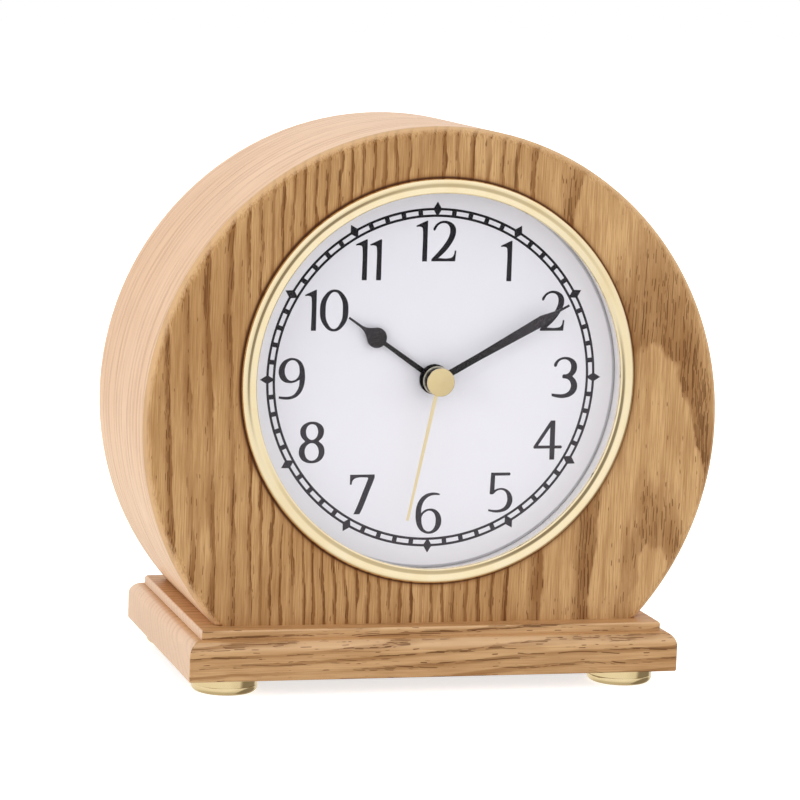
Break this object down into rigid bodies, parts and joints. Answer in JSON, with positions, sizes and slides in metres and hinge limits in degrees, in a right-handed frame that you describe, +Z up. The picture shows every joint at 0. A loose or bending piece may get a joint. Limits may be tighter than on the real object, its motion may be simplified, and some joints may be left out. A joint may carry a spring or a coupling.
{
  "type": "desk clock",
  "caption": "Round wooden mantel clock, cut flat on a moulded plinth with brass feet, brass bezel, white dial, three hands and an open-backed quartz movement.",
  "frame": {"origin": "on the table under the middle of the plinth, which is the bottom centre of the bounding box", "axes": "+Z up, +X to the right seen from the front, the dial faces -Y"},
  "size_m": [0.168, 0.0886, 0.1591],
  "materials": {
    "oak_front": "satin clear lacquer over brown oak",
    "oak_side": "satin clear lacquer over pale oak veneer",
    "oak_plinth": "satin clear lacquer over oak",
    "fibreboard": "bare fibreboard",
    "brass": "polished, pale gilt",
    "gilt_hand": "gilt, satin",
    "glass": "clear",
    "rubber": "matt",
    "white_plastic": "fine satin",
    "dial_white": "matt white paint with black print",
    "black_plastic": "moulded, fine texture",
    "black_hand": "satin black paint",
    "nylon": "moulded, natural",
    "magnet": "bonded ferrite",
    "electrical_steel": "bare",
    "copper_wire": "enamelled copper wire",
    "circuit_board": "green resist",
    "crystal_can": "drawn can",
    "epoxy": "potting compound",
    "plated_spring": "nickel plated",
    "steel_screws": "zinc plated",
    "battery_wrap": "printed film over a steel can"
  },
  "bodies": {
    "clock_case": {"front_board": "oak_front", "case_hoop": "oak_side", "rear_board": "fibreboard", "floor_board": "fibreboard", "plinth": "oak_plinth", "plinth_screws": "steel_screws", "foot_screws": "steel_screws", "cup_screws": "steel_screws", "movement_screws": "steel_screws", "foot_front_left": "brass", "foot_front_right": "brass", "foot_rear_left": "brass", "foot_rear_right": "brass", "bezel": "brass", "glass": "glass", "glass_gasket": "rubber", "dial_cup": "white_plastic", "dial_plate": "dial_white", "movement_front_case": "black_plastic", "movement_middle_plate": "nylon", "movement_rear_case": "black_plastic", "stator_plate": "electrical_steel", "coil_core": "electrical_steel", "coil_bobbin": "nylon", "coil_winding": "copper_wire", "circuit_board": "circuit_board", "quartz_crystal": "crystal_can", "chip_blob": "epoxy", "battery_contact_negative": "plated_spring", "battery_contact_positive": "plated_spring"},
    "second_group": {"second_wheel": "nylon", "second_hand": "gilt_hand", "second_hand_cap": "brass"},
    "third_wheel_body": {"third_wheel": "nylon"},
    "centre_wheel_body": {"centre_wheel": "nylon"},
    "intermediate_wheel_body": {"intermediate_wheel": "nylon"},
    "rotor_body": {"rotor": "magnet"},
    "minute_group": {"minute_pipe": "brass", "minute_hand": "black_hand"},
    "motion_group": {"motion_wheel": "nylon", "setting_knob": "black_plastic"},
    "hour_group": {"hour_wheel": "nylon", "hour_hand": "black_hand"},
    "battery_body": {"battery": "battery_wrap"}
  },
  "joints": [
    {"name": "second_spin", "type": "hinge", "parent": "clock_case", "child": "second_group", "pos_m": [0, -0.03475, 0.0875], "axis": [0, 1, 0], "continuous": true},
    {"name": "third_wheel_spin", "type": "hinge", "parent": "clock_case", "child": "third_wheel_body", "pos_m": [-0.00799, -0.03475, 0.08459], "axis": [0, 1, 0], "continuous": true},
    {"name": "centre_wheel_spin", "type": "hinge", "parent": "clock_case", "child": "centre_wheel_body", "pos_m": [0, -0.03475, 0.0875], "axis": [0, 1, 0], "continuous": true},
    {"name": "intermediate_wheel_spin", "type": "hinge", "parent": "clock_case", "child": "intermediate_wheel_body", "pos_m": [0.00526, -0.03475, 0.08941], "axis": [0, 1, 0], "continuous": true},
    {"name": "rotor_spin", "type": "hinge", "parent": "clock_case", "child": "rotor_body", "pos_m": [0.00977, -0.03475, 0.09106], "axis": [0, 1, 0], "continuous": true},
    {"name": "minute_spin", "type": "hinge", "parent": "clock_case", "child": "minute_group", "pos_m": [0, -0.03475, 0.0875], "axis": [0, 1, 0], "continuous": true},
    {"name": "motion_spin", "type": "hinge", "parent": "clock_case", "child": "motion_group", "pos_m": [0.00636, -0.03475, 0.08114], "axis": [0, 1, 0], "continuous": true},
    {"name": "hour_spin", "type": "hinge", "parent": "clock_case", "child": "hour_group", "pos_m": [0, -0.03475, 0.0875], "axis": [0, 1, 0], "continuous": true},
    {"name": "battery_slide", "type": "slide", "parent": "clock_case", "child": "battery_body", "axis": [0, 1, 0], "range_m": [0, 0.06]}
  ],
  "couplings": [
    {"joint": "third_wheel_spin", "follows": "second_spin", "ratio": -0.13333},
    {"joint": "centre_wheel_spin", "follows": "second_spin", "ratio": 0.016667},
    {"joint": "intermediate_wheel_spin", "follows": "second_spin", "ratio": -6},
    {"joint": "rotor_spin", "follows": "second_spin", "ratio": 30},
    {"joint": "motion_spin", "follows": "minute_spin", "ratio": -0.33333},
    {"joint": "hour_spin", "follows": "minute_spin", "ratio": 0.083333}
  ]
}
